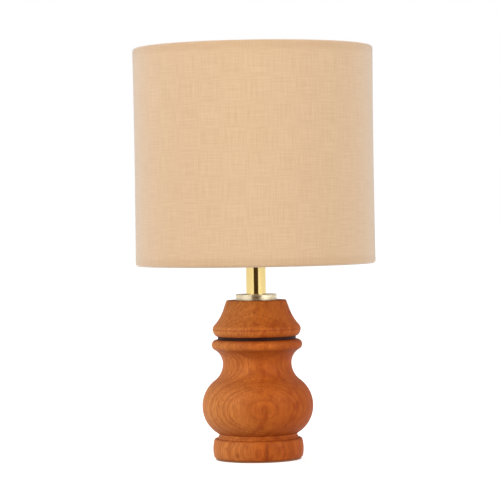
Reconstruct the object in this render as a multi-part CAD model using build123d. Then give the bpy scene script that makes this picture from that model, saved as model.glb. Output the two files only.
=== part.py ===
from build123d import *
import os
from math import atan2, cos, degrees, radians, sin, sqrt

# A small column table lamp: a hardwood column turned as a baluster, a collar and a short tube,
# a screw lampholder with a push-through switch, its bulb, and a fabric drum shade that hangs
# from a recessed ring with three arms.
#
# Millimetres. The origin is on the table, under the middle of the felt pad, and +Z is up.
# The lamp faces -Y, and its cord inlet is at the back, on +Y.

# Felt pad and foot of the column
felt_thickness = 1.5
felt_inset = 1.3
foot_radius = 37.8
foot_top_radius = 37.1
foot_bottom_radius = 36.9
foot_side_height = 13.8
foot_chamfer = 0.8
shoulder_round = 2.6
ledge_width = 0.9
quirk_height = 0.9
notch_radius = 32.6
notch_rise = 1.4

# Belly, neck and lower rim
belly_radius = 46.3
belly_rise = 43.0
belly_lower_round = 26.4
belly_upper_round = 27.1
neck_radius = 28.65
neck_rise = 35.5
lower_rim_radius = 37.85
lower_rim_rise = 15.6
lower_rim_round = 4.4

# Black ring, upper rim and cone
spacer_radius = 32.6
spacer_thickness = 2.9
upper_rim_radius = 36.75
upper_rim_rise = 5.7
upper_rim_lower_round = 7.0
upper_rim_upper_round = 5.0
wood_top_height = 29.8
cone_height = 6.8
cone_foot_radius = 27.3
cone_top_radius = 25.1
cone_top_chamfer = 0.5

# Rod that clamps the column, and the recess under the foot
rod_radius = 5.0
rod_bore_radius = 3.5
rod_clearance = 0.3
rod_tail = 2.8
recess_radius = 20.0
recess_depth = 14.5
washer_radius = 14.0
washer_thickness = 1.5
lock_washer_radius = 8.6
lock_washer_thickness = 1.2
lock_washer_teeth = 8
tooth_gap_depth = 0.8
tooth_gap_width = 1.2
nut_across_flats = 14.0
nut_thickness = 5.0
thread_clearance = 0.03
cut_past = 1.0

# Cord bush in the back of the foot
bush_bore_radius = 3.2
bush_sleeve_radius = 4.4
bush_flange_radius = 5.6
bush_flange_thickness = 1.4
bush_rise = 7.1
bush_face = 37.4

# Collar and tube
collar_radius = 17.0
collar_lip = 0.25
collar_foot_lip = 0.6
collar_height = 5.0
collar_lip_height = 0.8
collar_recess = 2.0
tube_radius = 8.3
tube_wall = 1.0
tube_visible = 30.3

# Lampholder: a domed cap that screws on the rod, and a threaded skirt above it
fit_clearance = 0.05
slip_clearance = 0.1
cap_hub_radius = 9.5
cap_hub_height = 4.0
cap_radius = 21.5
cap_height = 18.0
cap_wall = 1.9
cap_spigot = 3.0
cap_boss_radius = 8.5
cap_boss_height = 8.5
rod_top_drop = 1.0
lock_screw_radius = 1.25
lock_screw_rise = 2.0
lock_screw_sink = 0.4
skirt_radius = 19.75
skirt_bore_radius = 15.6
skirt_spigot = 2.0
skirt_collar_height = 1.5
skirt_flange_radius = 23.5
skirt_flange_thickness = 2.5
skirt_height = 36.0
skirt_edge = 0.8

# Switch housing, its push bar, the contact block and the contacts
housing_radius = 15.4
housing_height = 14.0
block_height = 8.5
housing_half_depth = 11.0
bar_radius = 2.5
bar_rise = 13.5
bar_travel = 5.0
bar_gap = 0.8
tip_radius = 4.2
tip_length = 8.0
tip_socket = 5.0
tip_chamfer = 1.3
terminal_offset = 7.0
terminal_rise = 9.5
terminal_shank_radius = 1.4
terminal_shank_length = 6.0
terminal_head_radius = 2.4
terminal_head_height = 1.3
shell_bore_radius = 13.6
shell_wall = 0.5
shell_height = 22.0
shell_flange_radius = 15.2
tongue_width = 6.0
tongue_thickness = 0.5
tongue_foot_reach = 10.5
tongue_foot_length = 3.5
tongue_rise = 3.8

# Ring that clamps the shade
clamp_radius = 27.5
clamp_flange_thickness = 2.5
clamp_neck_radius = 23.8
clamp_height = 8.0
clamp_gap = 0.3
clamp_scallops = 12
scallop_radius = 2.2

# Shade: fabric on a stiff lining, turned over a wire ring at each rim
shade_radius = 100.0
shade_height = 181.0
shade_waist = 0.5
fabric_thickness = 0.6
lining_thickness = 0.4
wire_radius = 1.7
wire_slack = 0.3
lining_edge_drop = 1.3

# Shade fitter: a flat ring below which three arms rise from the lower wire
fitter_bore_radius = 21.0
fitter_radius = 28.0
fitter_thickness = 1.5
fitter_recess = 27.9
arm_count = 3
arm_first_angle = 90.0
arm_radius = 1.5
arm_start = 24.8
arm_level_end = 33.0
arm_bend = 8.0

# Bulb
bulb_length = 105.0
bulb_radius = 30.0
bulb_wall = 0.9
bulb_neck_radius = 14.2
bulb_neck_rise = 30.0
bulb_cap_radius = 13.1
bulb_cap_wall = 0.5
bulb_cap_foot = 6.0
bulb_cap_top = 27.0
bulb_cap_cone_radius = 10.0
bulb_insulator_foot = 2.2
bulb_insulator_radius = 6.6
bulb_tip_radius = 4.8
bulb_gap = 0.1

# Levels, from the table up
foot_z = felt_thickness
foot_top_z = foot_z + foot_side_height
ledge_z = foot_top_z + shoulder_round
notch_z = ledge_z + quirk_height + notch_rise
belly_z = foot_z + belly_rise
neck_z = belly_z + neck_rise
lower_rim_z = neck_z + lower_rim_rise
spacer_z = lower_rim_z + lower_rim_round
wood_top_z = spacer_z + spacer_thickness
upper_rim_z = wood_top_z + upper_rim_rise
collar_z = wood_top_z + wood_top_height
collar_top_z = collar_z + collar_height
holder_z = collar_top_z + tube_visible
bar_z = holder_z + bar_rise
skirt_z = holder_z + cap_height
shade_seat_z = skirt_z + skirt_collar_height + skirt_flange_thickness
housing_z = holder_z + cap_boss_height
block_z = housing_z + housing_height
shell_z = block_z + block_height
holder_top_z = skirt_z + skirt_height
fitter_z = shade_seat_z + slip_clearance
clamp_z = fitter_z + fitter_thickness + clamp_gap
shade_z = shade_seat_z - fitter_recess
shade_top_z = shade_z + shade_height
bulb_z = shell_z + tongue_rise + bulb_gap

# Sizes that pieces share
rod_hole_radius = rod_radius + rod_clearance
thread_bore_radius = rod_radius + thread_clearance
recess_z = foot_z + recess_depth
nut_z = recess_z - washer_thickness - lock_washer_thickness - nut_thickness
rod_z = nut_z - rod_tail
rod_top_z = housing_z - rod_top_drop
bush_z = foot_z + bush_rise
bush_seat = bush_face - bush_flange_thickness
tube_bore_radius = tube_radius - tube_wall
wire_ring_radius = shade_radius - fabric_thickness - wire_slack - wire_radius
rim_round = fabric_thickness + wire_slack + wire_radius
lower_wire_z = shade_z + rim_round
upper_wire_z = shade_top_z - rim_round
arm_z = fitter_z - arm_radius
arm_slope = degrees(atan2(arm_z - lower_wire_z, wire_ring_radius - arm_level_end))
hem_angle = 90 + arm_slope


def arc_about(centre, start, end):
    """The shorter arc about a centre, from one point of an outline to another."""
    centre, start, end = Vector(*centre), Vector(*start), Vector(*end)
    middle = ((start - centre) + (end - centre)).normalized()
    return ThreePointArc(start, centre + middle * (start - centre).length, end)


def cove(seat, outward, round_centre, round_radius):
    """A hollow that leaves `seat` square to `outward` and runs smoothly into a round.

    Returns the hollow's centre and the point where it meets the round."""
    seat, outward = Vector(*seat), Vector(*outward).normalized()
    round_centre = Vector(*round_centre)
    across = seat - round_centre
    hollow = (across.length**2 - round_radius**2) / (2 * (round_radius - across.dot(outward)))
    centre = seat + outward * hollow
    meeting = centre + (round_centre - centre).normalized() * hollow
    return (centre.X, centre.Y), (meeting.X, meeting.Y)


def turned(*edges):
    """Spins a closed outline of (radius, height) edges about the lamp's axis."""
    return revolve(Plane.XZ * make_face(list(edges)), Axis.Z)


def turned_points(*points):
    """Spins a straight-sided outline about the lamp's axis."""
    return turned(Polyline(*points, close=True))


def sleeve(outer, bore, bottom, top):
    """A plain round sleeve on the lamp's axis."""
    return turned_points((bore, bottom), (outer, bottom), (outer, top), (bore, top))


def rod_along(direction, radius, start, end):
    """A round rod from one point to another, where both lie along `direction`."""
    plane = Plane(origin=start, z_dir=direction)
    length = (Vector(*end) - Vector(*start)).length
    return plane * Cylinder(radius, length, align=(Align.CENTER, Align.CENTER, Align.MIN))


def felt_pad():
    """Felt disc under the foot, cut a little smaller than it."""
    return rod_along((0, 0, 1), foot_bottom_radius - felt_inset, (0, 0, 0), (0, 0, felt_thickness))


def wood_body():
    """Lower turning: foot, quirk, belly, neck and lower rim, with the rod's hole, the nut's
    recess and the hole for the cord bush."""
    shoulder_radius = foot_top_radius - shoulder_round
    quirk_radius = shoulder_radius - ledge_width
    lower_centre = (belly_radius - belly_lower_round, belly_z)
    upper_centre = (belly_radius - belly_upper_round, belly_z)
    rim_centre = (lower_rim_radius - lower_rim_round, lower_rim_z)
    belly_foot_z = belly_z - sqrt(belly_lower_round**2 - (notch_radius - lower_centre[0]) ** 2)
    neck = (neck_radius, neck_z)
    lower_cove, belly_end = cove(neck, (1, 0), upper_centre, belly_upper_round)
    upper_cove, rim_start = cove(neck, (1, 0), rim_centre, lower_rim_round)
    rim_top = (rim_centre[0], spacer_z)
    foot_edge = (foot_bottom_radius, foot_z + foot_chamfer)
    foot_middle = (foot_radius, (foot_z + foot_top_z) / 2)
    foot_top = (foot_top_radius, foot_top_z)
    widest = (belly_radius, belly_z)
    wood = turned(
        Polyline(
            rim_top,
            (rod_hole_radius, spacer_z),
            (rod_hole_radius, recess_z),
            (recess_radius, recess_z),
            (recess_radius, foot_z),
            (foot_bottom_radius - foot_chamfer, foot_z),
            foot_edge,
        ),
        ThreePointArc(foot_edge, foot_middle, foot_top),
        arc_about((shoulder_radius, foot_top_z), foot_top, (shoulder_radius, ledge_z)),
        Polyline(
            (shoulder_radius, ledge_z),
            (quirk_radius, ledge_z),
            (quirk_radius, ledge_z + quirk_height),
            (notch_radius, notch_z),
            (notch_radius, belly_foot_z),
        ),
        arc_about(lower_centre, (notch_radius, belly_foot_z), widest),
        arc_about(upper_centre, widest, belly_end),
        arc_about(lower_cove, belly_end, neck),
        arc_about(upper_cove, neck, rim_start),
        arc_about(rim_centre, rim_start, rim_top),
    )
    inside = recess_radius - bush_sleeve_radius
    outside = foot_radius + cut_past
    sleeve_hole = rod_along((0, 1, 0), bush_sleeve_radius, (0, inside, bush_z), (0, outside, bush_z))
    spot_face = rod_along((0, 1, 0), bush_flange_radius, (0, bush_seat, bush_z), (0, outside, bush_z))
    return wood - sleeve_hole - spot_face


def wood_top():
    """Upper turning: a rim with a larger round below than above, a hollow and a cone."""
    lower_centre = (upper_rim_radius - upper_rim_lower_round, upper_rim_z)
    upper_centre = (upper_rim_radius - upper_rim_upper_round, upper_rim_z)
    rim_foot = (lower_centre[0] + sqrt(upper_rim_lower_round**2 - upper_rim_rise**2), wood_top_z)
    widest = (upper_rim_radius, upper_rim_z)
    cone_foot = (cone_foot_radius, collar_z - cone_height)
    slope = (cone_height, cone_foot_radius - cone_top_radius)
    hollow, rim_end = cove(cone_foot, slope, upper_centre, upper_rim_upper_round)
    return turned(
        arc_about(lower_centre, rim_foot, widest),
        arc_about(upper_centre, widest, rim_end),
        arc_about(hollow, rim_end, cone_foot),
        Polyline(
            cone_foot,
            (cone_top_radius, collar_z - cone_top_chamfer),
            (cone_top_radius - cone_top_chamfer, collar_z),
            (rod_hole_radius, collar_z),
            (rod_hole_radius, wood_top_z),
            rim_foot,
        ),
    )


def collar():
    """Turned collar: a wider foot, a side with a top lip, and a seat for the tube."""
    foot_z_top = collar_z + collar_lip_height
    lip_z = collar_top_z - collar_lip_height
    return turned_points(
        (rod_hole_radius, collar_z),
        (collar_radius + collar_foot_lip, collar_z),
        (collar_radius + collar_foot_lip, foot_z_top),
        (collar_radius, foot_z_top + collar_lip),
        (collar_radius, lip_z),
        (collar_radius + collar_lip, lip_z + collar_lip),
        (collar_radius + collar_lip, collar_top_z - collar_lip),
        (collar_radius, collar_top_z),
        (tube_radius + fit_clearance, collar_top_z),
        (tube_radius + fit_clearance, collar_top_z - collar_recess),
        (rod_hole_radius, collar_top_z - collar_recess),
    )


def lock_washer():
    """Toothed washer between the nut and the plain washer."""
    bottom = nut_z + nut_thickness
    washer = sleeve(lock_washer_radius, rod_hole_radius, bottom, bottom + lock_washer_thickness)
    gap = Pos(lock_washer_radius, 0, bottom + lock_washer_thickness / 2) * Box(
        2 * tooth_gap_depth, tooth_gap_width, lock_washer_thickness + cut_past
    )
    return washer - [Rot(0, 0, 360 * n / lock_washer_teeth) * gap for n in range(lock_washer_teeth)]


def rod_nut():
    """Hexagon nut on the lower end of the rod."""
    side_radius = nut_across_flats / sqrt(3)
    hexagon = extrude(Pos(0, 0, nut_z) * RegularPolygon(side_radius, 6), nut_thickness)
    below, above = (0, 0, nut_z - cut_past), (0, 0, nut_z + nut_thickness + cut_past)
    return hexagon - rod_along((0, 0, 1), thread_bore_radius, below, above)


def cord_bush():
    """Sleeve with a flange that lines the cord's hole through the back of the foot."""
    start = (0, recess_radius - bush_sleeve_radius, bush_z)
    seat = (0, bush_seat, bush_z)
    face = (0, bush_face, bush_z)
    bush = rod_along((0, 1, 0), bush_sleeve_radius, start, face)
    bush += rod_along((0, 1, 0), bush_flange_radius, seat, face)
    bush -= rod_along((0, 0, 1), recess_radius, (0, 0, 0), (0, 0, recess_z))
    return bush - rod_along((0, 1, 0), bush_bore_radius, start, (0, bush_face + cut_past, bush_z))


def holder_cap():
    """Domed cap of the lampholder, with a spigot in the tube and a threaded boss on the rod."""
    dome = cap_radius - cap_hub_radius
    dome_centre = (cap_hub_radius, holder_z + cap_hub_height + dome)
    inner_dome = dome - cap_wall
    dome_foot = (cap_hub_radius, holder_z + cap_hub_height)
    dome_top = (cap_radius, dome_centre[1])
    inner_top = (cap_radius - cap_wall, dome_centre[1])
    inner_foot = (cap_hub_radius, dome_centre[1] - inner_dome)
    spigot_radius = tube_bore_radius - fit_clearance
    cap = turned(
        arc_about(dome_centre, dome_foot, dome_top),
        Polyline(dome_top, (cap_radius, skirt_z), (cap_radius - cap_wall, skirt_z), inner_top),
        arc_about(dome_centre, inner_top, inner_foot),
        Polyline(
            inner_foot,
            (cap_boss_radius, inner_foot[1]),
            (cap_boss_radius, housing_z),
            (thread_bore_radius, housing_z),
            (thread_bore_radius, holder_z - cap_spigot),
            (spigot_radius, holder_z - cap_spigot),
            (spigot_radius, holder_z),
            (cap_hub_radius, holder_z),
            dome_foot,
        ),
    )
    return cap - bar_hole() - cap_lock_screw()


def bar_hole():
    """Cutter for the hole that the push bar slides in, right across the holder."""
    reach = cap_radius + cut_past
    return rod_along((1, 0, 0), bar_radius + fit_clearance, (-reach, 0, bar_z), (reach, 0, bar_z))


def cap_lock_screw():
    """Headless screw through the back of the cap's hub, against the rod."""
    level = holder_z + lock_screw_rise
    end = cap_hub_radius - lock_screw_sink
    return rod_along((0, 1, 0), lock_screw_radius, (0, rod_radius, level), (0, end, level))


def holder_skirt():
    """Skirt of the lampholder: a flange that carries the shade, and the clamp ring's thread."""
    collar_top = skirt_z + skirt_collar_height
    return turned_points(
        (skirt_bore_radius, skirt_z - skirt_spigot),
        (cap_radius - cap_wall - slip_clearance, skirt_z - skirt_spigot),
        (cap_radius - cap_wall - slip_clearance, skirt_z),
        (cap_radius, skirt_z),
        (cap_radius, collar_top),
        (skirt_flange_radius, collar_top),
        (skirt_flange_radius, shade_seat_z),
        (skirt_radius, shade_seat_z),
        (skirt_radius, holder_top_z - skirt_edge),
        (skirt_radius - skirt_edge, holder_top_z),
        (skirt_bore_radius, holder_top_z),
    )


def terminal(side):
    """One terminal screw of the switch housing, on the side given as -1 or 1."""
    def at(y):
        return (side * terminal_offset, side * y, housing_z + terminal_rise)

    inner = housing_half_depth - terminal_shank_length
    outer = housing_half_depth + terminal_head_height
    shank = rod_along((0, side, 0), terminal_shank_radius, at(inner), at(housing_half_depth))
    head = rod_along((0, side, 0), terminal_head_radius, at(housing_half_depth), at(outer))
    return shank + head


def switch_housing():
    """Moulded housing on the cap's boss, with flat sides that leave room for the conductors."""
    housing = sleeve(housing_radius, rod_bore_radius, housing_z, block_z)
    housing &= Pos(0, 0, housing_z) * Box(
        2 * housing_radius,
        2 * housing_half_depth,
        housing_height,
        align=(Align.CENTER, Align.CENTER, Align.MIN),
    )
    return housing - bar_hole() - terminal(1) - terminal(-1)


def switch_bar():
    """Push bar that crosses the holder. At rest it stands pushed to the left."""
    right = cap_radius + bar_gap + tip_socket
    return rod_along((1, 0, 0), bar_radius, (-right - bar_travel, 0, bar_z), (right, 0, bar_z))


def switch_tip(side):
    """Button on one end of the push bar, on the side given as -1 or 1."""
    start = cap_radius + bar_gap + (bar_travel if side < 0 else 0)

    def at(reach):
        return (side * (start + reach), 0, bar_z)

    tip = rod_along((side, 0, 0), tip_radius, at(0), at(tip_length))
    rims = tip.edges().filter_by(GeomType.CIRCLE).sort_by(Axis.X)
    tip = chamfer(rims[-1] if side > 0 else rims[0], tip_chamfer)
    return tip - rod_along((side, 0, 0), bar_radius, at(0), at(tip_socket))


def screw_shell():
    """Metal shell that takes the bulb's cap, with a flange on the contact block."""
    outer = shell_bore_radius + shell_wall
    return turned_points(
        (shell_bore_radius, shell_z),
        (shell_flange_radius, shell_z),
        (shell_flange_radius, shell_z + shell_wall),
        (outer, shell_z + shell_wall),
        (outer, shell_z + shell_height),
        (shell_bore_radius, shell_z + shell_height),
    )


def centre_contact():
    """Springy tongue that stands on the contact block and meets the bulb's tip."""
    top = shell_z + tongue_rise
    strip = make_face(
        Polyline(
            (-tongue_foot_reach, shell_z),
            (tongue_thickness - tongue_foot_reach + tongue_foot_length, shell_z),
            (-bulb_tip_radius / 2, top - tongue_thickness),
            (bulb_tip_radius / 2, top - tongue_thickness),
            (bulb_tip_radius / 2, top),
            (-bulb_tip_radius / 2 - tongue_thickness / 2, top),
            (tongue_foot_length - tongue_foot_reach, shell_z + tongue_thickness),
            (-tongue_foot_reach, shell_z + tongue_thickness),
            close=True,
        )
    )
    return extrude(Plane.XZ * strip, tongue_width / 2, both=True)


def clamp_ring():
    """Threaded ring that holds the shade down, with finger grips round its flange."""
    bore = skirt_radius + fit_clearance
    flange_top = clamp_z + clamp_flange_thickness
    ring = turned_points(
        (bore, clamp_z),
        (clamp_radius, clamp_z),
        (clamp_radius, flange_top),
        (clamp_neck_radius, flange_top),
        (clamp_neck_radius, clamp_z + clamp_height),
        (bore, clamp_z + clamp_height),
    )
    scallop = Pos(clamp_radius + scallop_radius / 2, 0, clamp_z + clamp_flange_thickness / 2) * Cylinder(
        scallop_radius, clamp_flange_thickness + cut_past
    )
    return ring - [Rot(0, 0, 360 * n / clamp_scallops) * scallop for n in range(clamp_scallops)]


def wire_ring(level):
    return Pos(0, 0, level) * Torus(wire_ring_radius, wire_radius)


def wall_point(inset, share):
    """A point of the shade's wall, a depth inside the fabric's face, at a share of its height."""
    waist = shade_waist * 4 * share * (1 - share)
    level = lower_wire_z + share * (upper_wire_z - lower_wire_z)
    return (shade_radius - inset - waist, level)


def wall_edge(inset, low_z, high_z):
    """The wall's drawn-in line at a depth inside its face, between two levels."""
    span = upper_wire_z - lower_wire_z
    low, high = (low_z - lower_wire_z) / span, (high_z - lower_wire_z) / span
    return ThreePointArc(*(wall_point(inset, share) for share in (low, (low + high) / 2, high)))


def hem(level, up):
    """Edges of the fabric's turn over a rim's wire, from its face to its back, as a chain.

    The turn ends square to the arms, so that it leaves their welds on the lower wire free."""
    centre = Vector(wire_ring_radius, level)

    def at(radius, angle):
        return centre + Vector(cos(radians(angle)), up * sin(radians(angle))) * radius

    inner = rim_round - fabric_thickness
    half = hem_angle / 2
    return [
        ThreePointArc(at(rim_round, 0), at(rim_round, half), at(rim_round, hem_angle)),
        Line(at(rim_round, hem_angle), at(inner, hem_angle)),
        ThreePointArc(at(inner, hem_angle), at(inner, half), at(inner, 0)),
    ]


def arm_line(angle):
    """Path of one arm's wire, from under the fitter ring down to the lower wire."""
    path = FilletPolyline(
        (arm_start, 0, arm_z),
        (arm_level_end, 0, arm_z),
        (wire_ring_radius, 0, lower_wire_z),
        radius=arm_bend,
    )
    return Rot(0, 0, angle) * path


def arm_angles():
    return [arm_first_angle + 360 * number / arm_count for number in range(arm_count)]


def arm_wire(angle, radius):
    path = arm_line(angle)
    return sweep((path ^ 0) * Circle(radius), path)


def fitter_arms():
    """Three wires welded under the fitter ring and on to the lower wire."""
    lower = wire_ring(lower_wire_z)
    return Compound(children=[largest(arm_wire(angle, arm_radius) - lower) for angle in arm_angles()])


def largest(shape):
    """The largest solid of a cut shape."""
    return sorted(shape.solids(), key=lambda solid: solid.volume)[-1]


def shade_fabric():
    """Cotton skin of the drum, turned over both wires."""
    return turned(
        wall_edge(0, lower_wire_z, upper_wire_z),
        *hem(upper_wire_z, 1),
        wall_edge(fabric_thickness, lower_wire_z, upper_wire_z),
        *hem(lower_wire_z, -1),
    )


def shade_lining():
    """Stiff lining under the fabric, between the two wires."""
    low, high = lower_wire_z + lining_edge_drop, upper_wire_z - lining_edge_drop
    face, back = fabric_thickness, fabric_thickness + lining_thickness
    outer, inner = wall_edge(face, low, high), wall_edge(back, low, high)
    return turned(outer, Line(outer @ 1, inner @ 1), inner, Line(inner @ 0, outer @ 0))


def bulb_wall_edges(depth):
    """The glass's neck, hollow and round as edges, a depth inside its face."""
    centre = (0, bulb_z + bulb_length - bulb_radius)
    radius = bulb_radius - depth
    neck = (bulb_neck_radius - depth, bulb_z + bulb_neck_rise)
    foot = (neck[0], bulb_z + bulb_cap_top)
    hollow, meeting = cove(neck, (1, 0), centre, radius)
    pole = (0, centre[1] + radius)
    return [
        Line(foot, neck),
        arc_about(hollow, neck, meeting),
        arc_about(centre, meeting, pole),
    ], foot, pole


def bulb_envelope():
    """Hollow opal globe with a neck that stands on the bulb's cap."""
    outer, outer_foot, outer_pole = bulb_wall_edges(0)
    inner, inner_foot, inner_pole = bulb_wall_edges(bulb_wall)
    return turned(*outer, Line(outer_pole, inner_pole), *inner, Line(inner_foot, outer_foot))


def bulb_cap():
    """Metal cap of the bulb: a thin cup whose foot narrows to the insulator."""
    foot, top = bulb_z + bulb_cap_foot, bulb_z + bulb_cap_top
    shoulder = foot + bulb_cap_radius - bulb_cap_cone_radius
    inner = bulb_cap_radius - bulb_cap_wall
    return turned_points(
        (bulb_cap_cone_radius - bulb_cap_wall, foot),
        (bulb_cap_cone_radius, foot),
        (bulb_cap_radius, shoulder),
        (bulb_cap_radius, top - bulb_cap_wall),
        (bulb_neck_radius, top - bulb_cap_wall),
        (bulb_neck_radius, top),
        (inner, top),
        (inner, shoulder),
    )


def bulb_insulator():
    """Black glass cone between the cap and the tip contact."""
    foot, top = bulb_z + bulb_insulator_foot, bulb_z + bulb_cap_foot
    return turned_points(
        (0, foot), (bulb_insulator_radius, foot), (bulb_cap_cone_radius, top), (0, top)
    )


def bulb_contact():
    """Flat tip with a soldered crown."""
    foot = bulb_z + bulb_insulator_foot
    return turned_points(
        (0, bulb_z), (bulb_tip_radius / 2, bulb_z), (bulb_tip_radius, foot), (0, foot)
    )


parts = {
    "felt_pad": felt_pad(),
    "wood_body": wood_body(),
    "spacer_ring": sleeve(spacer_radius, rod_hole_radius, spacer_z, wood_top_z),
    "wood_top": wood_top(),
    "collar": collar(),
    "brass_tube": sleeve(tube_radius, tube_bore_radius, collar_top_z - collar_recess, holder_z),
    "threaded_rod": sleeve(rod_radius, rod_bore_radius, rod_z, rod_top_z),
    "base_washer": sleeve(washer_radius, rod_hole_radius, recess_z - washer_thickness, recess_z),
    "lock_washer": lock_washer(),
    "rod_nut": rod_nut(),
    "cord_bush": cord_bush(),
    "holder_cap": holder_cap(),
    "cap_lock_screw": cap_lock_screw(),
    "holder_skirt": holder_skirt(),
    "switch_housing": switch_housing(),
    "terminal_screws": Compound(children=[terminal(1), terminal(-1)]),
    "contact_block": sleeve(housing_radius, bulb_tip_radius / 2, block_z, shell_z),
    "screw_shell": screw_shell(),
    "centre_contact": centre_contact(),
    "switch_bar": switch_bar(),
    "switch_tips": Compound(children=[switch_tip(-1), switch_tip(1)]),
    "clamp_ring": clamp_ring(),
    "shade_fabric": shade_fabric(),
    "shade_lining": shade_lining(),
    "top_wire_ring": wire_ring(upper_wire_z),
    "bottom_wire_ring": wire_ring(lower_wire_z),
    "fitter_ring": sleeve(fitter_radius, fitter_bore_radius, fitter_z, fitter_z + fitter_thickness),
    "fitter_arms": fitter_arms(),
    "bulb_envelope": bulb_envelope(),
    "bulb_cap": bulb_cap(),
    "bulb_insulator": bulb_insulator(),
    "bulb_contact": bulb_contact(),
}

os.makedirs("parts", exist_ok=True)
for name, part in parts.items():
    export_step(part, f"parts/{name}.step")
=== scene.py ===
from math import cos, pi, radians, sin

import bpy
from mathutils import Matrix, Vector


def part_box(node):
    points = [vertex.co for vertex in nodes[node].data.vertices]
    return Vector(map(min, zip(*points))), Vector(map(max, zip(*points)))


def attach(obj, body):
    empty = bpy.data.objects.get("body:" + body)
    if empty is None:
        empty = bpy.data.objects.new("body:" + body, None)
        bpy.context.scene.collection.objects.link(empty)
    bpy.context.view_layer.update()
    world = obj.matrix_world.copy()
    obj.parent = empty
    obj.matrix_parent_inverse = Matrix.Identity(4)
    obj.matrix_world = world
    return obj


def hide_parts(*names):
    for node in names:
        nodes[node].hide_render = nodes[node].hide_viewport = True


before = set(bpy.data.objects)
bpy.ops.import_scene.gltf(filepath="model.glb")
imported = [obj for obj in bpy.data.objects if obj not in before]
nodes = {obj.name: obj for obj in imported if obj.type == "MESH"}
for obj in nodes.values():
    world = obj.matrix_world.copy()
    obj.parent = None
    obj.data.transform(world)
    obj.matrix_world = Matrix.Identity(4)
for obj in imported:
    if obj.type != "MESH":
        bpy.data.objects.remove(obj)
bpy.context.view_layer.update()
bpy.context.scene.view_settings.view_transform = "Standard"

# ---------------------------------------------------------------------------------------------
# Lower turning of the column: foot, quirk, belly, neck and rim, turned from one block of
# reddish-brown tropical hardwood. It was sanded with the lathe running and then oiled, so the
# growth rings show as low-contrast ovals, and the open pores as short dark ticks along the grain.


def colour(code):
    """A colour written as sRGB hex, as the linear values that Blender's sockets take."""
    parts = [int(code[at:at + 2], 16) / 255 for at in (1, 3, 5)]
    return [part / 12.92 if part <= 0.04045 else ((part + 0.055) / 1.055) ** 2.4
            for part in parts] + [1]


def finish(name, **sockets):
    """A new material, with its shader's own settings by socket name."""
    material = bpy.data.materials.new(name)
    material.use_nodes = True
    shader = material.node_tree.nodes["Principled BSDF"]
    for socket, value in sockets.items():
        shader.inputs[socket.replace("_", " ")].default_value = value
    return material


def add(owner, kind, inputs, **settings):
    """Adds a node. An input is a value, a node, or a (node, output name) pair."""
    made = owner.node_tree.nodes.new(kind)
    for name, value in settings.items():
        setattr(made, name, value)
    for name, value in inputs.items():
        open_sockets = [s for s in made.inputs if s.enabled]
        if isinstance(name, int):
            socket = open_sockets[name]
        else:
            socket = next(s for s in open_sockets if s.name == name)
        if isinstance(value, bpy.types.Node):
            value = next(s for s in value.outputs if s.enabled)
        elif isinstance(value, tuple) and isinstance(value[0], bpy.types.Node):
            value = value[0].outputs[value[1]]
        if isinstance(value, bpy.types.NodeSocket):
            owner.node_tree.links.new(value, socket)
        else:
            socket.default_value = value
    return made


def feed(material, socket, source):
    """Links a node's first open output to one of the shader's sockets."""
    shader = material.node_tree.nodes["Principled BSDF"]
    output = next(s for s in source.outputs if s.enabled)
    material.node_tree.links.new(output, shader.inputs[socket])


def dress(node, material):
    """Gives a CAD node its finished material."""
    nodes[node].data.materials.clear()
    nodes[node].data.materials.append(material)


# Growth rings are about 3 mm wide, some closer. The block's own sway bends them a few
# millimetres, and the pace of growth widens some and narrows others.
ring_width, ring_sway, pace_swing, pace_patches = 2.9, 3.5, 7.0, 0.22
# The other patterns, as patches a millimetre across the grain (X, Y) and along it (Z). Fibres
# and pores are drawn about twice as coarse as real ones, so that they show.
sway_patches, broad_patches = (0.035, 0.035, 0.008), (0.045, 0.045, 0.03)
fleck_patches, fibre_patches = (0.15, 0.15, 0.11), (0.85, 0.85, 0.055)
pore_patches = (1.3, 1.3, 0.2)
# Two of these tones are painted light: a gold for the lit left side and a red for the shaded right
# side. The end-grain brown is partly painted shade.
fleck_red, shaded_side_red, lit_side_gold, late_brown = "#A03C0C", "#A8480F", "#E99C54", "#98420F"
fibre_brown, pore_brown, end_grain_and_shade_brown, mark_brown = "#A04810", "#6E2C0A", "#8C3D10", "#7A2A0A"


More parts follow.
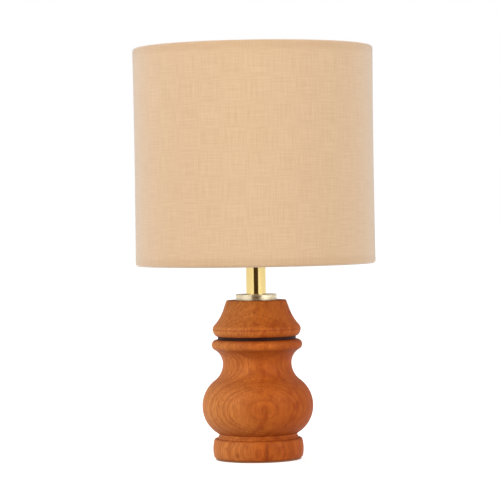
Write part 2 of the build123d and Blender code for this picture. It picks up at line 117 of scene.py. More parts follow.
def hardwood(name, pith, tilt, seed, tones, ringing, marks):
    """Oiled hardwood: growth rings round a pith behind the block, and fibres and pores along Z.
    Each mark in the block is a centre in mm, the share of each axis, a size in mm and a depth."""
    wood = finish(name, IOR=1.45, Specular_IOR_Level=0.16)
    place = add(wood, "ShaderNodeTexCoord", {})
    mm = add(wood, "ShaderNodeMapping", {"Vector": (place, "Object"), "Scale": (1000, 1000, 1000)})
    block = add(wood, "ShaderNodeMapping", {"Vector": mm, "Rotation": tilt, "Location": pith})
    flat = add(wood, "ShaderNodeVectorMath", {0: block, 1: (1, 1, 0)}, operation="MULTIPLY")
    from_pith = add(wood, "ShaderNodeVectorMath", {0: flat}, operation="LENGTH")
    sway_at = add(wood, "ShaderNodeMapping", {
        "Vector": block, "Scale": sway_patches, "Location": (seed, 0, 0)})
    sway = add(wood, "ShaderNodeTexNoise", {"Vector": sway_at, "Scale": 1.0, "Detail": 3.0})
    swayed = add(wood, "ShaderNodeMath", {
        0: (sway, "Fac"), 1: ring_sway, 2: (from_pith, "Value")}, operation="MULTIPLY_ADD")
    pace = add(wood, "ShaderNodeTexNoise", {
        "W": swayed, "Scale": pace_patches, "Detail": 1.0}, noise_dimensions="1D")
    paced = add(wood, "ShaderNodeMath", {
        0: (pace, "Fac"), 1: pace_swing, 2: swayed}, operation="MULTIPLY_ADD")
    # Each year darkens slowly to its late wood.
    years = add(wood, "ShaderNodeMath", {0: paced, 1: ring_width}, operation="DIVIDE")
    year = add(wood, "ShaderNodeMath", {0: years}, operation="FRACT")
    late = add(wood, "ShaderNodeValToRGB", {"Fac": year})
    for stop, (at, tone) in enumerate([(0.0, 0.4), (0.3, 0.1), (0.8, 1.0), (1.0, 0.4)]):
        dot = late.color_ramp.elements[stop] if stop < 2 else late.color_ramp.elements.new(at)
        dot.position, dot.color = at, (tone, tone, tone, 1)
    fibre_at = add(wood, "ShaderNodeMapping", {"Vector": block, "Scale": fibre_patches})
    fibres = add(wood, "ShaderNodeTexNoise", {"Vector": fibre_at, "Scale": 1.0, "Detail": 3.0})
    pore_at = add(wood, "ShaderNodeMapping", {"Vector": block, "Scale": pore_patches})
    pores = add(wood, "ShaderNodeTexNoise", {"Vector": pore_at, "Scale": 1.0, "Detail": 1.0})
    pits = add(wood, "ShaderNodeMapRange", {
        "Value": (pores, "Fac"), "From Min": 0.58, "From Max": 0.72, "To Min": 0.0, "To Max": 1.0})
    # Broad clouds of two tones, with redder flecks of a few millimetres where the fibres wander.
    broad_at = add(wood, "ShaderNodeMapping", {
        "Vector": block, "Scale": broad_patches, "Location": (0, seed, 0)})
    broad = add(wood, "ShaderNodeTexNoise", {"Vector": broad_at, "Scale": 1.0, "Detail": 3.0})
    cloudy = add(wood, "ShaderNodeMapRange", {
        "Value": (broad, "Fac"), "From Min": 0.3, "From Max": 0.7, "To Min": 0.0, "To Max": 1.0})
    toned = add(wood, "ShaderNodeMix", {
        "Factor": cloudy, "A": colour(tones[0]), "B": colour(tones[1])}, data_type="RGBA")
    fleck_at = add(wood, "ShaderNodeMapping", {
        "Vector": block, "Scale": fleck_patches, "Location": (0, 0, seed)})
    flecks = add(wood, "ShaderNodeTexNoise", {"Vector": fleck_at, "Scale": 1.0, "Detail": 4.0})
    fleck_share = add(wood, "ShaderNodeMapRange", {
        "Value": (flecks, "Fac"), "From Min": 0.5, "From Max": 0.7, "To Min": 0.0, "To Max": 0.75})
    toned = add(wood, "ShaderNodeMix", {
        "Factor": fleck_share, "A": toned, "B": colour(fleck_red)}, data_type="RGBA")
    # The left of the block is painted lighter and yellower, a painted highlight where the light
    # falls, and the right is painted darker and redder, painted shade.
    side = add(wood, "ShaderNodeSeparateXYZ", {"Vector": mm})
    shaded_side_share = add(wood, "ShaderNodeMapRange", {
        "Value": (side, "X"), "From Min": 5.0, "From Max": 48.0, "To Min": 0.0, "To Max": 0.6})
    toned = add(wood, "ShaderNodeMix", {
        "Factor": shaded_side_share, "A": toned, "B": colour(shaded_side_red)}, data_type="RGBA")
    lit_side_share = add(wood, "ShaderNodeMapRange", {
        "Value": (side, "X"), "From Min": -48.0, "From Max": 4.0, "To Min": 0.98, "To Max": 0.0})
    body = add(wood, "ShaderNodeMix", {
        "Factor": lit_side_share, "A": toned, "B": colour(lit_side_gold)}, data_type="RGBA")
    late_share = add(wood, "ShaderNodeMath", {0: (late, "Color"), 1: ringing}, operation="MULTIPLY")
    ringed = add(wood, "ShaderNodeMix", {
        "Factor": late_share, "A": body, "B": colour(late_brown)}, data_type="RGBA")
    fibre_share = add(wood, "ShaderNodeMapRange", {
        "Value": (fibres, "Fac"), "From Min": 0.38, "From Max": 0.66,
        "To Min": 0.0, "To Max": 0.42})
    fibred = add(wood, "ShaderNodeMix", {
        "Factor": fibre_share, "A": ringed, "B": colour(fibre_brown)}, data_type="RGBA")
    # End grain drinks more oil, so faces that look up or down are darker, and show more pores. The
    # darkening is also painted shade for the undersides of the belly and neck.
    face = add(wood, "ShaderNodeNewGeometry", {})
    lie = add(wood, "ShaderNodeSeparateXYZ", {"Vector": (face, "Normal")})
    ends = add(wood, "ShaderNodeMath", {0: (lie, "Z"), 1: (lie, "Z")}, operation="MULTIPLY")
    end_grain_and_shade_share = add(wood, "ShaderNodeMath", {0: ends, 1: 0.5}, operation="MULTIPLY")
    steep = add(wood, "ShaderNodeMath", {0: ends, 1: ends}, operation="MULTIPLY")
    pit_depth = add(wood, "ShaderNodeMath", {0: steep, 1: 1.1, 2: 0.3}, operation="MULTIPLY_ADD")
    pit_share = add(wood, "ShaderNodeMath", {0: pits, 1: pit_depth}, operation="MULTIPLY")
    tint = add(wood, "ShaderNodeMix", {
        "Factor": pit_share, "A": fibred, "B": colour(pore_brown)}, data_type="RGBA")
    tint = add(wood, "ShaderNodeMix", {
        "Factor": end_grain_and_shade_share, "A": tint, "B": colour(end_grain_and_shade_brown)}, data_type="RGBA")
    for centre, short, size, depth in marks:
        away = add(wood, "ShaderNodeVectorMath", {0: mm, 1: centre}, operation="SUBTRACT")
        across = add(wood, "ShaderNodeVectorMath", {0: away, 1: short}, operation="MULTIPLY")
        distance = add(wood, "ShaderNodeVectorMath", {0: across}, operation="LENGTH")
        share = add(wood, "ShaderNodeMapRange", {
            "Value": (distance, "Value"), "From Min": 0.3 * size, "From Max": size,
            "To Min": depth, "To Max": 0.0})
        tint = add(wood, "ShaderNodeMix", {
            "Factor": share, "A": tint, "B": colour(mark_brown)}, data_type="RGBA")
    feed(wood, "Base Color", tint)
    # Oil leaves a low sheen, a little duller on the harder fibres, and the pores stay open.
    feed(wood, "Roughness", add(wood, "ShaderNodeMapRange", {
        "Value": (fibres, "Fac"), "From Min": 0.3, "From Max": 0.7,
        "To Min": 0.5, "To Max": 0.64}))
    relief = add(wood, "ShaderNodeMath", {
        0: pits, 1: -0.8, 2: (fibres, "Fac")}, operation="MULTIPLY_ADD")
    feed(wood, "Normal", add(wood, "ShaderNodeBump", {
        "Strength": 0.25, "Distance": 0.00015, "Height": relief}))
    return wood


# A dark vein runs up the front of the foot, and a pin knot shows to its left.
vein = ((6.7, -37.2, 8), (1, 0.8, 0.14), 2.6, 0.6)
knot = ((-17.3, -33.3, 6.1), (1, 1, 1), 3.0, 0.35)
dress("wood_body", hardwood(
    "oiled_hardwood_lower", pith=(4, -68, 0), tilt=(0.0, 0.02, 0), seed=0,
    tones=("#C05C18", "#DE7A2B"), ringing=0.48, marks=[vein, knot]))

# ---------------------------------------------------------------------------------------------
# Felt pad under the foot: a disc punched from brown pressed wool felt and glued to the wood. Its
# cut edge is soft and a little fuzzy, and it hides the recess with the nut.
felt_radius, felt_thickness, soft_edge = 0.0356, 0.0015, 0.0004
bpy.ops.object.select_all(action="DESELECT")
bpy.ops.mesh.primitive_cylinder_add(
    vertices=128, radius=felt_radius, depth=felt_thickness, location=(0, 0, felt_thickness / 2))
felt = bpy.context.object
felt.name = "felt_disc"
bpy.ops.object.transform_apply(location=True)
bpy.ops.object.mode_set(mode="EDIT")
bpy.ops.mesh.bevel(offset=soft_edge, segments=3, affect="EDGES")
bpy.ops.object.mode_set(mode="OBJECT")
bpy.ops.object.shade_smooth_by_angle(angle=radians(40))


def mottle(material, patches, detail, tones, gloss=None, relief=None):
    """Two tones in soft patches, so many a metre along each axis. The patches may also vary the
    roughness, from one tone's to the other's, and the height (strength, metres)."""
    place = add(material, "ShaderNodeTexCoord", {})
    spread = add(material, "ShaderNodeMapping", {"Vector": (place, "Object"), "Scale": patches})
    patch = add(material, "ShaderNodeTexNoise", {"Vector": spread, "Scale": 1.0, "Detail": detail})
    feed(material, "Base Color", add(material, "ShaderNodeMix", {
        "Factor": (patch, "Fac"), "A": colour(tones[0]), "B": colour(tones[1])}, data_type="RGBA"))
    if gloss:
        feed(material, "Roughness", add(material, "ShaderNodeMapRange", {
            "Value": (patch, "Fac"), "From Min": 0.3, "From Max": 0.7,
            "To Min": gloss[0], "To Max": gloss[1]}))
    if relief:
        feed(material, "Normal", add(material, "ShaderNodeBump", {
            "Strength": relief[0], "Distance": relief[1], "Height": (patch, "Fac")}))


# The tufts are 0.4 mm, coarser than real wool, so that they show.
wool = finish("pressed_wool_felt", Roughness=0.95, Sheen_Weight=0.4, Sheen_Roughness=0.5)
mottle(wool, (2500, 2500, 2500), 4.0, ("#8E5830", "#B27446"), relief=(0.6, 0.0003))
felt.data.materials.append(wool)
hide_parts("felt_pad")
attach(felt, "base")

# ---------------------------------------------------------------------------------------------
# Steel inside the column and the push bar: the hollow rod that clamps it all, its washers, its nut
# and the cap's screw. All are turned or pressed mild steel with thin blue-white zinc plating,
# which is dull and slightly mottled.
zinc = finish("zinc_plated_steel", Metallic=1.0)
mottle(zinc, (700, 700, 700), 3.0, ("#A9ACB0", "#CBCED1"), gloss=(0.28, 0.45))
for name in ("threaded_rod", "base_washer", "lock_washer", "rod_nut", "cap_lock_screw",
             "switch_bar"):
    dress(name, zinc)

# ---------------------------------------------------------------------------------------------
# Cord bush in the back of the foot: moulded black rubber, pressed into its hole. It is matt, with
# a faint greyish bloom.
rubber = finish("moulded_black_rubber", IOR=1.52)
mottle(rubber, (400, 400, 400), 4.0, ("#1C1C1D", "#34332F"), gloss=(0.5, 0.7))
dress("cord_bush", rubber)

# ---------------------------------------------------------------------------------------------
# Black ring between the two turnings: close-grained wood, stained black and waxed to a satin. Its
# grain, drawn coarser than the real one, barely shows through the stain.
ebonised = finish("ebonised_wood", Roughness=0.55, IOR=1.48, Specular_IOR_Level=0.12)
mottle(ebonised, (1500, 1500, 90), 3.0, ("#260F0A", "#3E1C13"), relief=(0.2, 0.0001))
dress("spacer_ring", ebonised)

# ---------------------------------------------------------------------------------------------
# Upper turning: a rim, a hollow and a low cone, turned from another block of the same wood.
# Its rim has a slightly darker line at its widest, where the tool was turned round.
rim_line = ((0, 0, 108.6), (0, 0, 1), 1.2, 0.35)
dress("wood_top", hardwood(
    "oiled_hardwood_upper", pith=(-4, -60, 0), tilt=(0.01, -0.015, 0), seed=37,
    tones=("#CC681F", "#E38234"), ringing=0.3, marks=[rim_line]))

# ---------------------------------------------------------------------------------------------
# Collar on top of the wood: turned brass with a pale champagne plating. It has a wider foot,
# three fine lines cut round its side and a small lip at its top edge, as the turner left them.


def trace(name, outline):
    """Draws (radius, height) points in millimetres as a chain of edges, and stays in edit mode."""
    bpy.ops.object.select_all(action="DESELECT")
    radius, height = outline[0]
    bpy.ops.mesh.primitive_plane_add(size=0.001, location=(radius / 1000, 0, height / 1000))
    bpy.ops.object.transform_apply(location=True)
    bpy.context.object.name = name
    bpy.ops.object.mode_set(mode="EDIT")
    bpy.ops.mesh.merge(type="CENTER")
    for start, end in zip(outline, outline[1:]):
        step = ((end[0] - start[0]) / 1000, 0, (end[1] - start[1]) / 1000)
        bpy.ops.mesh.extrude_region_move(TRANSFORM_OT_translate={"value": step})
    bpy.ops.mesh.select_all(action="SELECT")


def turn(name, outline, steps=128):
    """Spins an outline about the lamp's axis, as a lathe would turn it."""
    trace(name, outline)
    bpy.ops.mesh.spin(steps=steps, angle=2 * pi, center=(0, 0, 0), axis=(0, 0, 1))
    bpy.ops.mesh.select_all(action="SELECT")
    bpy.ops.mesh.remove_doubles(threshold=1e-6)
    bpy.ops.mesh.normals_make_consistent(inside=False)
    bpy.ops.object.mode_set(mode="OBJECT")
    return bpy.context.object


side_radius, line_depth, half_line = 17.0, 0.22, 0.16
lines = []
for line in (134.4, 135.35, 136.3):
    lines += [(side_radius, line - half_line), (side_radius - line_depth, line),
              (side_radius, line + half_line)]
collar = turn("collar_turned", [
    (8.35, 132.75), (17.35, 132.75), (17.6, 132.95), (17.6, 133.3), (17.4, 133.5),
    (side_radius, 133.75), *lines, (side_radius, 136.75), (17.22, 136.95), (17.25, 137.3),
    (17.05, 137.6), (16.7, 137.7), (9.2, 137.7), (8.7, 137.62), (8.35, 137.4), (8.35, 132.75)])
bpy.ops.object.shade_smooth_by_angle(angle=radians(25))
# The tool's marks run round it, so it has a soft gloss that is broken along its height.
champagne = finish("champagne_plated_brass", Metallic=1.0)
mottle(champagne, (60, 60, 9000), 2.0, ("#E6D8B6", "#F6ECD2"), gloss=(0.24, 0.36))
collar.data.materials.append(champagne)
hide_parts("collar")
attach(collar, "base")

# ---------------------------------------------------------------------------------------------
# Short tube between the collar and the lampholder: drawn brass, polished bright and lacquered.
# It mirrors the room in tall bands, with faint draw lines along it, coarser than the real ones.
brass = finish("polished_brass", Metallic=1.0)
mottle(brass, (1200, 1200, 30), 2.0, ("#DCC07C", "#ECD391"), gloss=(0.09, 0.14))
dress("brass_tube", brass)

# ---------------------------------------------------------------------------------------------
# Lampholder: cap, skirt, housing, clamp ring and the push bar's buttons, all moulded in black
# phenolic, a hard plastic with a satin skin and a faint brown cast. The cap screws on the rod.
phenolic = finish("moulded_black_phenolic", IOR=1.6)
mottle(phenolic, (350, 350, 350), 3.0, ("#191615", "#2A2421"), gloss=(0.28, 0.42))
for name in ("holder_cap", "switch_housing", "clamp_ring", "switch_tips"):
    dress(name, phenolic)


def wind(outline, pitch, turns, steps):
    """Winds a traced outline up the lamp's axis, a pitch in millimetres a turn, and selects it
    all in edit mode."""
    bpy.ops.object.mode_set(mode="OBJECT")
    screw = outline.modifiers.new("wind", "SCREW")
    screw.axis, screw.screw_offset, screw.iterations = "Z", pitch / 1000, turns
    screw.steps = screw.render_steps = steps
    bpy.ops.object.modifier_apply(modifier="wind")
    bpy.ops.object.mode_set(mode="EDIT")
    bpy.ops.mesh.select_all(action="SELECT")


def thread(name, outline, pitch, turns, steps=48):
    """A solid screw thread wound from its closed outline, with both ends closed."""
    trace(name, outline)
    bpy.ops.mesh.remove_doubles(threshold=1e-6)
    ridge = bpy.context.object
    wind(ridge, pitch, turns, steps)
    bpy.ops.mesh.remove_doubles(threshold=1e-6)
    bpy.ops.mesh.fill_holes(sides=0)
    bpy.ops.mesh.normals_make_consistent(inside=False)
    bpy.ops.object.mode_set(mode="OBJECT")
    return ridge


def join(*pieces):
    """Joins pieces into the first."""
    bpy.ops.object.select_all(action="DESELECT")
    for piece in pieces:
        piece.select_set(True)
    bpy.context.view_layer.objects.active = pieces[0]
    bpy.ops.object.join()
    return pieces[0]


# The skirt carries a moulded thread of 2.2 mm pitch for the clamp ring.
core = turn("holder_skirt_threaded", [
    (15.6, 184.0), (19.5, 184.0), (19.5, 186.0), (21.3, 186.0), (21.5, 186.2), (21.5, 187.5),
    (23.2, 187.5), (23.5, 187.8), (23.5, 189.7), (23.2, 190.0), (18.9, 190.0), (18.9, 221.2),
    (18.2, 222.0), (15.9, 222.0), (15.6, 221.7), (15.6, 184.0)], steps=96)
ridge = thread("skirt_ridge", [
    (18.6, 191.5), (19.3, 191.9), (19.7, 192.2), (19.7, 192.5), (19.3, 192.8), (18.6, 193.2),
    (18.6, 191.5)], pitch=2.2, turns=12)
skirt = join(core, ridge)
bpy.ops.object.shade_smooth_by_angle(angle=radians(35))
skirt.data.materials.append(phenolic)
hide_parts("holder_skirt")
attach(skirt, "base")

# ---------------------------------------------------------------------------------------------
# Contact block inside the skirt: pressed steatite, a white ceramic that carries the contacts. It
# is glazed, so it is smooth and glossy, with small greyish specks in the white.
ceramic = finish("glazed_steatite", Roughness=0.18, IOR=1.52)
mottle(ceramic, (900, 900, 900), 2.0, ("#CFC8BA", "#EFEAE0"))
dress("contact_block", ceramic)

# ---------------------------------------------------------------------------------------------
# Contacts: the centre tongue, the terminal screws, and the shell that the bulb screws into. All
# are bare brass, pressed or rolled from springy sheet, with duller and darker patches of tarnish.
spring = finish("pressed_spring_brass", Metallic=1.0)
mottle(spring, (250, 250, 250), 3.0, ("#B98F4A", "#DDB76C"), gloss=(0.38, 0.24))
for name in ("terminal_screws", "centre_contact"):
    dress(name, spring)

lamp_pitch = 3.6


def rolled_shell(name, radius, depth, wall, bottom, turns, steps=64):
    """A thin shell rolled to the round thread of a 27 mm lamp screw and cut level at both ends,
    with its sizes in millimetres."""
    trace(name, [(radius - depth / 2 * (1 - cos(2 * pi * part / 8)), bottom + lamp_pitch * part / 8)
                 for part in range(9)])
    shell = bpy.context.object
    wind(shell, lamp_pitch, turns, steps)
    bpy.ops.mesh.remove_doubles(threshold=1e-5)
    low, high = (bottom + lamp_pitch) / 1000, (bottom + lamp_pitch * turns) / 1000
    bpy.ops.mesh.bisect(plane_co=(0, 0, low), plane_no=(0, 0, 1), clear_inner=True)
    bpy.ops.mesh.select_all(action="SELECT")
    bpy.ops.mesh.bisect(plane_co=(0, 0, high), plane_no=(0, 0, 1), clear_outer=True)
    bpy.ops.mesh.select_all(action="SELECT")
    bpy.ops.mesh.normals_make_consistent(inside=False)
    bpy.ops.object.mode_set(mode="OBJECT")
    thick = shell.modifiers.new("thickness", "SOLIDIFY")
    thick.thickness, thick.offset = wall / 1000, -1
    bpy.ops.object.modifier_apply(modifier="thickness")
    return shell


# The shell stands on its flange, and its rolled wall runs from the flange to its open mouth.
shell_wall = rolled_shell(
    "screw_shell_rolled", radius=14.1, depth=0.5, wall=0.35, bottom=195.6, turns=7)
flange = turn("shell_flange", [
    (13.3, 199.0), (15.1, 199.0), (15.2, 199.1), (15.2, 199.5), (14.1, 199.6), (13.3, 199.6),
    (13.3, 199.0)])
shell = join(shell_wall, flange)
bpy.ops.object.shade_smooth_by_angle(angle=radians(50))
shell.data.materials.append(spring)
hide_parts("screw_shell")
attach(shell, "base")

# ---------------------------------------------------------------------------------------------
# Frame of the shade: two rings and three arms of steel wire and a flat ring, welded together and
# dipped in white enamel, which is glossy and a little uneven.
enamel = finish("white_enamelled_wire", Roughness=0.25, IOR=1.5)
mottle(enamel, (300, 300, 300), 2.0, ("#DAD9D4", "#EFEEEA"), relief=(0.15, 0.0002))
for name in ("top_wire_ring", "bottom_wire_ring", "fitter_ring", "fitter_arms"):
    dress(name, enamel)

# Each arm is welded to the edge of the fitter ring and to the lower wire with a rippled bead, the
# first flatter than it is wide and the second higher.
half_bead = [(0.0, 2.4), (0.6, 2.3), (0.95, 2.0), (0.93, 1.85), (1.18, 1.5), (1.13, 1.3),
             (1.34, 0.9), (1.28, 0.7), (1.4, 0.3), (1.33, 0.1)]
bead_outline = half_bead + [(radius, -along) for radius, along in reversed(half_bead)]
under_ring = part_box("fitter_ring")[0][2] - 0.0003
arm_angles = (90, 210, 330)
beads = []
for reach, height, tallness in ((0.0279, under_ring, 0.7), (0.0958, 0.1654, 1.35)):
    model = turn("weld_bead", bead_outline, steps=24)
    bpy.ops.object.mode_set(mode="EDIT")
    bpy.ops.mesh.select_all(action="SELECT")
    bpy.ops.transform.rotate(value=pi / 2, orient_axis="X", center_override=(0, 0, 0))
    bpy.ops.transform.resize(value=(1, 1, tallness), center_override=(0, 0, 0))
    bpy.ops.transform.translate(value=(reach, 0, height))
    bpy.ops.object.mode_set(mode="OBJECT")
    for arm_angle in arm_angles:
        bead = model.copy()
        bead.data = model.data.copy()
        bpy.context.scene.collection.objects.link(bead)
        bpy.ops.object.select_all(action="DESELECT")
        bead.select_set(True)
        bpy.context.view_layer.objects.active = bead
        bead.rotation_euler.z = radians(arm_angle)
        bpy.ops.object.transform_apply()
        beads.append(bead)
    bpy.data.objects.remove(model)
welds = join(*beads)
welds.name = "weld_beads"
bpy.ops.object.shade_smooth_by_angle(angle=radians(60))
welds.data.materials.append(enamel)
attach(welds, "shade")

# ---------------------------------------------------------------------------------------------
# Lining of the shade: matt white styrene sheet, rolled up between the two wires. It has a fine
# satin emboss, which spreads the light evenly.
styrene = finish("matt_white_styrene", Roughness=0.6, IOR=1.55)
mottle(styrene, (1200, 1200, 1200), 2.0, ("#E6E1D6", "#F3EFE7"), relief=(0.2, 0.0001))
dress("shade_lining", styrene)

# Its ends meet at the back, under a strip of the same sheet, 12 mm wide, that lies inside its wall
# and is drawn in at the middle as the wall is. Without a window, rotate turns the other way.
strip_radius, strip_width, strip_low, strip_high = 98.85, 12, 168.0, 337.5
strip_rows, drawn_in, strip_thickness, strip_edge = 24, 0.5, 0.0003, radians(99)
shares = [row / strip_rows for row in range(strip_rows + 1)]
trace("lining_strip", [
    (strip_radius - drawn_in * 4 * share * (1 - share),
     strip_low + share * (strip_high - strip_low)) for share in shares])
bpy.ops.mesh.spin(steps=8, angle=strip_width / strip_radius, center=(0, 0, 0), axis=(0, 0, 1))
bpy.ops.mesh.select_all(action="SELECT")
bpy.ops.transform.rotate(value=-strip_edge, orient_axis="Z", center_override=(0, 0, 0))
bpy.ops.mesh.normals_make_consistent(inside=False)
bpy.ops.object.mode_set(mode="OBJECT")
strip = bpy.context.object
thick = strip.modifiers.new("thickness", "SOLIDIFY")
thick.thickness, thick.offset, thick.use_even_offset = strip_thickness, 0, False
bpy.ops.object.modifier_apply(modifier="thickness")
bpy.ops.object.shade_smooth_by_angle(angle=radians(50))
strip.data.materials.append(styrene)
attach(strip, "shade")

# ---------------------------------------------------------------------------------------------
# Skin of the shade: plain-weave cotton in a warm peach, stuck to the lining and turned over both
# wires. Its two ends lap at the back, and the turn is cut out where the arms meet the wire.
wall_radius, roll_radius, wire_radius = 0.0997, 0.0023, 0.0974
low_wire, high_wire, waist = 0.1647, 0.3405, 0.0005
cloth_thickness, lap_rise = 0.0005, 0.0008
column_angle, columns, seam_angle = radians(1.5), 245, radians(94.5)
lap_columns, lap_ramp = 5, 2
roll_rows, wall_rows, roll_turn = 10, 40, radians(250)
wall_height, roll_length = high_wire - low_wire, roll_turn * roll_radius
rows = 2 * roll_rows + wall_rows
column_width = column_angle * wall_radius
flat_height = wall_height + 2 * roll_length
bpy.ops.object.select_all(action="DESELECT")
bpy.ops.mesh.primitive_grid_add(x_subdivisions=columns, y_subdivisions=rows, size=1)
fabric = bpy.context.object
fabric.name = "shade_cotton"
# Its map is the flat cloth in metres, so that the weave follows it round the turns.
for uv in list(fabric.data.uv_layers):
    fabric.data.uv_layers.remove(uv)
cloth = fabric.data.uv_layers.new(name="cut_cloth")
spots = []
for point in fabric.data.vertices:
    column = round((point.co.x + 0.5) * columns)
    row = round((point.co.y + 0.5) * rows)
    angle = seam_angle + column * column_angle
    over = min(1, max(0, (column - (columns - lap_columns - lap_ramp)) / lap_ramp))
    lap = over * over * (3 - 2 * over) * lap_rise
    if roll_rows <= row <= roll_rows + wall_rows:
        share = (row - roll_rows) / wall_rows
        along = roll_length + wall_height * share
        radius = wall_radius + lap - waist * 4 * share * (1 - share)
        height = low_wire + wall_height * share
    elif row < roll_rows:
        turned = (roll_rows - row) / roll_rows
        along = roll_length * (1 - turned)
        radius = wire_radius + (roll_radius + lap) * cos(turned * roll_turn)
        height = low_wire - (roll_radius + lap) * sin(turned * roll_turn)
    else:
        turned = (row - roll_rows - wall_rows) / roll_rows
        along = roll_length + wall_height + roll_length * turned
        radius = wire_radius + (roll_radius + lap) * cos(turned * roll_turn)
        height = high_wire + (roll_radius + lap) * sin(turned * roll_turn)
    point.co = (radius * cos(angle), radius * sin(angle), height)
    spots.append((column * column_width, along))
for loop in fabric.data.loops:
    cloth.data[loop.index].uv = spots[loop.vertex_index]
fabric.data.update()

# A notch one column wide each side of an arm, over the last half of the lower turn.
arm_columns = [round((radians(arm_angle) - seam_angle) % (2 * pi) / column_angle)
               for arm_angle in arm_angles]
notch_edge = roll_length * 0.5
bpy.ops.object.mode_set(mode="EDIT")
bpy.ops.mesh.select_all(action="DESELECT")
bpy.ops.object.mode_set(mode="OBJECT")
for face in fabric.data.polygons:
    across = sum(spots[corner][0] for corner in face.vertices) / 4 / column_width
    along = sum(spots[corner][1] for corner in face.vertices) / 4
    face.select = along < notch_edge and any(abs(across - arm) < 1 for arm in arm_columns)
bpy.ops.object.mode_set(mode="EDIT")
bpy.ops.mesh.delete(type="FACE")
bpy.ops.object.mode_set(mode="OBJECT")
thick = fabric.modifiers.new("thickness", "SOLIDIFY")
thick.thickness, thick.offset, thick.use_even_offset = cloth_thickness, 0, False
bpy.ops.object.modifier_apply(modifier="thickness")
bpy.ops.object.shade_smooth_by_angle(angle=radians(50))

# Cotton is matt, with a soft pale sheen where it turns away, and its yarns break up its tone.
cotton = finish("plain_weave_cotton", Roughness=0.9, IOR=1.45, Sheen_Weight=1.0,
                Sheen_Roughness=0.5, Sheen_Tint=colour("#FFF8F0"), Specular_IOR_Level=0.2)
place = add(cotton, "ShaderNodeTexCoord", {})
mm = add(cotton, "ShaderNodeMapping", {"Vector": (place, "UV"), "Scale": (1000, 1000, 1000)})
# Slubs are the thicker stretches of yarn: under 1 mm wide and 20 mm long, both ways.
slub_wide, slub_long = 1.3, 0.05
warp_at = add(cotton, "ShaderNodeMapping", {"Vector": mm, "Scale": (slub_wide, slub_long, 1)})
weft_at = add(cotton, "ShaderNodeMapping", {"Vector": mm, "Scale": (slub_long, slub_wide, 1)})
warp = add(cotton, "ShaderNodeTexNoise", {
    "Vector": warp_at, "Scale": 1.0, "Detail": 2.0}, noise_dimensions="2D")
weft = add(cotton, "ShaderNodeTexNoise", {
    "Vector": weft_at, "Scale": 1.0, "Detail": 2.0}, noise_dimensions="2D")
slubs = add(cotton, "ShaderNodeMath", {0: (warp, "Fac"), 1: (weft, "Fac")}, operation="ADD")
# Threads lie 0.6 mm apart both ways, and each goes over one and under the next.
thread_gap = 0.6
yarn_at = add(cotton, "ShaderNodeMapping", {
    "Vector": mm, "Scale": (pi / thread_gap, pi / thread_gap, 1)})
yarns = add(cotton, "ShaderNodeSeparateXYZ", {"Vector": yarn_at})
ups = add(cotton, "ShaderNodeMath", {0: (yarns, "X")}, operation="SINE")
downs = add(cotton, "ShaderNodeMath", {0: (yarns, "Y")}, operation="SINE")
weave = add(cotton, "ShaderNodeMath", {0: ups, 1: downs}, operation="MULTIPLY")
light = add(cotton, "ShaderNodeMapRange", {
    "Value": slubs, "From Min": 0.75, "From Max": 1.25, "To Min": 0.0, "To Max": 1.0})
dyed = add(cotton, "ShaderNodeMix", {
    "Factor": light, "A": colour("#DBB68E"), "B": colour("#E5C29B")}, data_type="RGBA")
# The cloth is a little darker in the last few millimetres beside each rim.
rim_band_from, rim_band_full = 500 * wall_height - 6, 500 * wall_height - 3
across = add(cotton, "ShaderNodeSeparateXYZ", {"Vector": mm})
centred = add(cotton, "ShaderNodeMath", {
    0: (across, "Y"), 1: 500 * flat_height}, operation="SUBTRACT")
from_middle = add(cotton, "ShaderNodeMath", {0: centred}, operation="ABSOLUTE")
rim_band = add(cotton, "ShaderNodeMapRange", {
    "Value": from_middle, "From Min": rim_band_from, "From Max": rim_band_full,
    "To Min": 0.0, "To Max": 0.45})
feed(cotton, "Base Color", add(cotton, "ShaderNodeMix", {
    "Factor": rim_band, "A": dyed, "B": colour("#D3AC84")}, data_type="RGBA"))
relief = add(cotton, "ShaderNodeMath", {0: weave, 1: 0.5, 2: slubs}, operation="MULTIPLY_ADD")
feed(cotton, "Normal", add(cotton, "ShaderNodeBump", {
    "Strength": 0.35, "Distance": 0.0002, "Height": relief}))
fabric.data.materials.append(cotton)
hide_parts("shade_fabric")
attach(fabric, "shade")

# ---------------------------------------------------------------------------------------------
# Bulb: a glass envelope cemented in a rolled cap, with a black glass insulator and a solder tip
# below. The glass is blown and coated white inside, so it is milky, with a soft gloss.
opal = finish("blown_opal_glass", Roughness=0.22, IOR=1.5, Subsurface_Weight=0.15,
              Subsurface_Scale=0.004)
mottle(opal, (60, 60, 60), 2.0, ("#EDEBE5", "#F6F4F0"))
dress("bulb_envelope", opal)

# The cap is thin aluminium, rolled to the same thread, so it is bright but scuffed. Its foot
# closes on the insulator in a cone, and its mouth opens on the glass.
cap_wall = rolled_shell("bulb_cap_rolled", radius=13.1, depth=0.6, wall=0.3, bottom=208.6, turns=5)
cap_foot = turn("bulb_cap_ends", [
    (9.6, 208.9), (10.0, 208.9), (12.9, 211.8), (13.05, 212.3), (12.7, 212.6), (12.4, 212.4),
    (9.6, 209.4), (9.6, 208.9)])
cap_mouth = turn("bulb_cap_collar", [
    (12.5, 226.4), (13.05, 226.5), (13.1, 227.6), (14.2, 229.3), (14.35, 229.6), (14.35, 229.9),
    (14.2, 229.9), (13.0, 228.4), (12.5, 227.6), (12.5, 226.4)])
cap = join(cap_wall, cap_foot, cap_mouth)
bpy.ops.object.shade_smooth_by_angle(angle=radians(50))
aluminium = finish("rolled_aluminium", Metallic=1.0, Roughness=0.3)
mottle(aluminium, (800, 800, 800), 3.0, ("#C2C3C4", "#DFE0E1"))
cap.data.materials.append(aluminium)
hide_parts("bulb_cap")
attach(cap, "bulb")

# The insulator is fused black glass, glossy and faintly smoky.
black_glass = finish("fused_black_glass", Roughness=0.1, IOR=1.55)
mottle(black_glass, (500, 500, 500), 2.0, ("#0D0D0F", "#1D1C20"))
dress("bulb_insulator", black_glass)

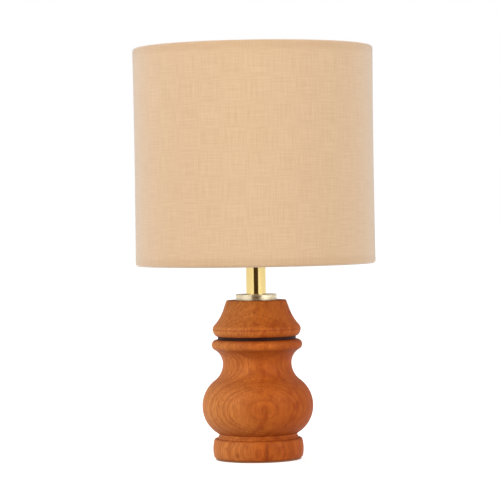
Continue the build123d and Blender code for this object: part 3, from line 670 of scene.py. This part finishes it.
# The tip is a drop of solder, grey and dulled by the air.
solder = finish("soft_solder", Metallic=1.0, Roughness=0.4)
mottle(solder, (900, 900, 900), 3.0, ("#9A9A98", "#C6C6C4"))
dress("bulb_contact", solder)

# ---------------------------------------------------------------------------------------------
# Studio: a pale floor that fades into a white surround, one large soft lamp at the front left, a
# weaker one at the right, and a dark card behind and below the camera that only reflections see.
bpy.ops.object.select_all(action="DESELECT")
bpy.ops.mesh.primitive_plane_add(size=60)
floor = bpy.context.object
floor.name = "floor"
# The paper lights the lamp as a light grey one does, while the camera and reflections see it white.
paper = finish("white_paper", Base_Color=colour("#DEDEDE"), Roughness=0.9, Specular_IOR_Level=0.0)
plain = paper.node_tree.nodes["Principled BSDF"]
seen = add(paper, "ShaderNodeLightPath", {})
bright = add(paper, "ShaderNodeBsdfDiffuse", {"Color": colour("#F4F4F4")})
lift = add(paper, "ShaderNodeEmission", {"Color": colour("#FFFFFF"), "Strength": 0.54})
white = add(paper, "ShaderNodeAddShader", {0: bright, 1: lift})
looked = add(paper, "ShaderNodeMath", {
    0: (seen, "Is Camera Ray"), 1: (seen, "Is Glossy Ray")}, operation="MAXIMUM")
choose = add(paper, "ShaderNodeMixShader", {0: looked, 1: plain, 2: white})
# Seen from below, the floor is clear, so that the foot can be looked at.
clear = add(paper, "ShaderNodeBsdfTransparent", {})
under = add(paper, "ShaderNodeNewGeometry", {})
either = add(paper, "ShaderNodeMixShader", {0: (under, "Backfacing"), 1: choose, 2: clear})
surface = paper.node_tree.nodes["Material Output"].inputs["Surface"]
paper.node_tree.links.new(either.outputs[0], surface)
floor.data.materials.append(paper)

# The card stands behind the camera, and its foot is drawn forward under it to a narrow tongue.
card_size, card_back, card_low = 2, -2.1, 0.001
tongue_length, tongue_share = 1.8, 0.15
bpy.ops.object.select_all(action="DESELECT")
bpy.ops.mesh.primitive_plane_add(
    size=card_size, location=(0, card_back, card_low + card_size / 2), rotation=(pi / 2, 0, 0))
card = bpy.context.object
card.name = "dark_card"
bpy.ops.object.transform_apply(location=True, rotation=True)
bpy.ops.object.mode_set(mode="EDIT")
bpy.ops.mesh.select_all(action="DESELECT")
bpy.ops.object.mode_set(mode="OBJECT")
for edge in card.data.edges:
    edge.select = all(card.data.vertices[end].co.z < 0.1 for end in edge.vertices)
bpy.ops.object.mode_set(mode="EDIT")
bpy.ops.mesh.extrude_region_move(TRANSFORM_OT_translate={"value": (0, tongue_length, 0)})
bpy.ops.transform.resize(
    value=(tongue_share, 1, 1), center_override=(0, card_back + tongue_length, 0))
bpy.ops.object.mode_set(mode="OBJECT")
velvet = finish(
    "black_velvet", Base_Color=colour("#4A3826"), Roughness=1.0, Specular_IOR_Level=0.0)
card.data.materials.append(velvet)
card.visible_camera = card.visible_diffuse = False
card.visible_shadow = card.visible_transmission = False

# The surround lights the lamp more from behind, as a lit white backdrop does, and metal sees it
# a little greyer far behind, where the backdrop falls away.
world = bpy.data.worlds.new("surround")
bpy.context.scene.world = world
world.use_nodes = True
seen = add(world, "ShaderNodeLightPath", {})
way = add(world, "ShaderNodeTexCoord", {})
depth = add(world, "ShaderNodeSeparateXYZ", {"Vector": (way, "Generated")})
ambient = add(world, "ShaderNodeMapRange", {
    "Value": (depth, "Y"), "From Min": -0.2, "From Max": 0.7, "To Min": 0.42, "To Max": 1.0})
mirrored = add(world, "ShaderNodeMapRange", {
    "Value": (depth, "Y"), "From Min": -0.3, "From Max": 1.0, "To Min": 1.0, "To Max": 0.5})
through = add(world, "ShaderNodeMath", {
    0: (seen, "Is Camera Ray"), 1: (seen, "Is Transmission Ray")}, operation="MAXIMUM")
mixed = add(world, "ShaderNodeMapRange", {
    "Value": (seen, "Is Glossy Ray"), "From Min": 0.0, "From Max": 1.0,
    "To Min": ambient, "To Max": mirrored})
level = add(world, "ShaderNodeMapRange", {
    "Value": through, "From Min": 0.0, "From Max": 1.0, "To Min": mixed, "To Max": 1.0})
sky = world.node_tree.nodes["Background"]
sky.inputs["Color"].default_value = colour("#FFFFFF")
world.node_tree.links.new(level.outputs["Result"], sky.inputs["Strength"])

lamp_size, aim = 1.4, Vector((0, 0, 0.17))
for name, spot, power in (
    ("lamp_left", (-1.7, -1.4, 1.2), 28.0),
    ("lamp_right", (1.7, -1.3, 0.9), 20.0),
):
    glow = bpy.data.lights.new(name, "AREA")
    glow.size, glow.energy = lamp_size, power
    lamp = bpy.data.objects.new(name, glow)
    bpy.context.scene.collection.objects.link(lamp)
    lamp.location = spot
    lamp.rotation_euler = (aim - lamp.location).to_track_quat("-Z", "Y").to_euler()

# The camera looks a degree downwards, from 2 m, and rolls a little, as in the photograph.
look_down, roll = radians(0.99), radians(0.9)
lens = bpy.data.cameras.new("camera")
lens.sensor_width, lens.lens = 36, 172.7
camera = bpy.data.objects.new("camera", lens)
bpy.context.scene.collection.objects.link(camera)
camera.location = (-0.004, -2.0, 0.209)
camera.rotation_euler = (pi / 2 - look_down, roll, 0)
bpy.context.scene.camera = camera
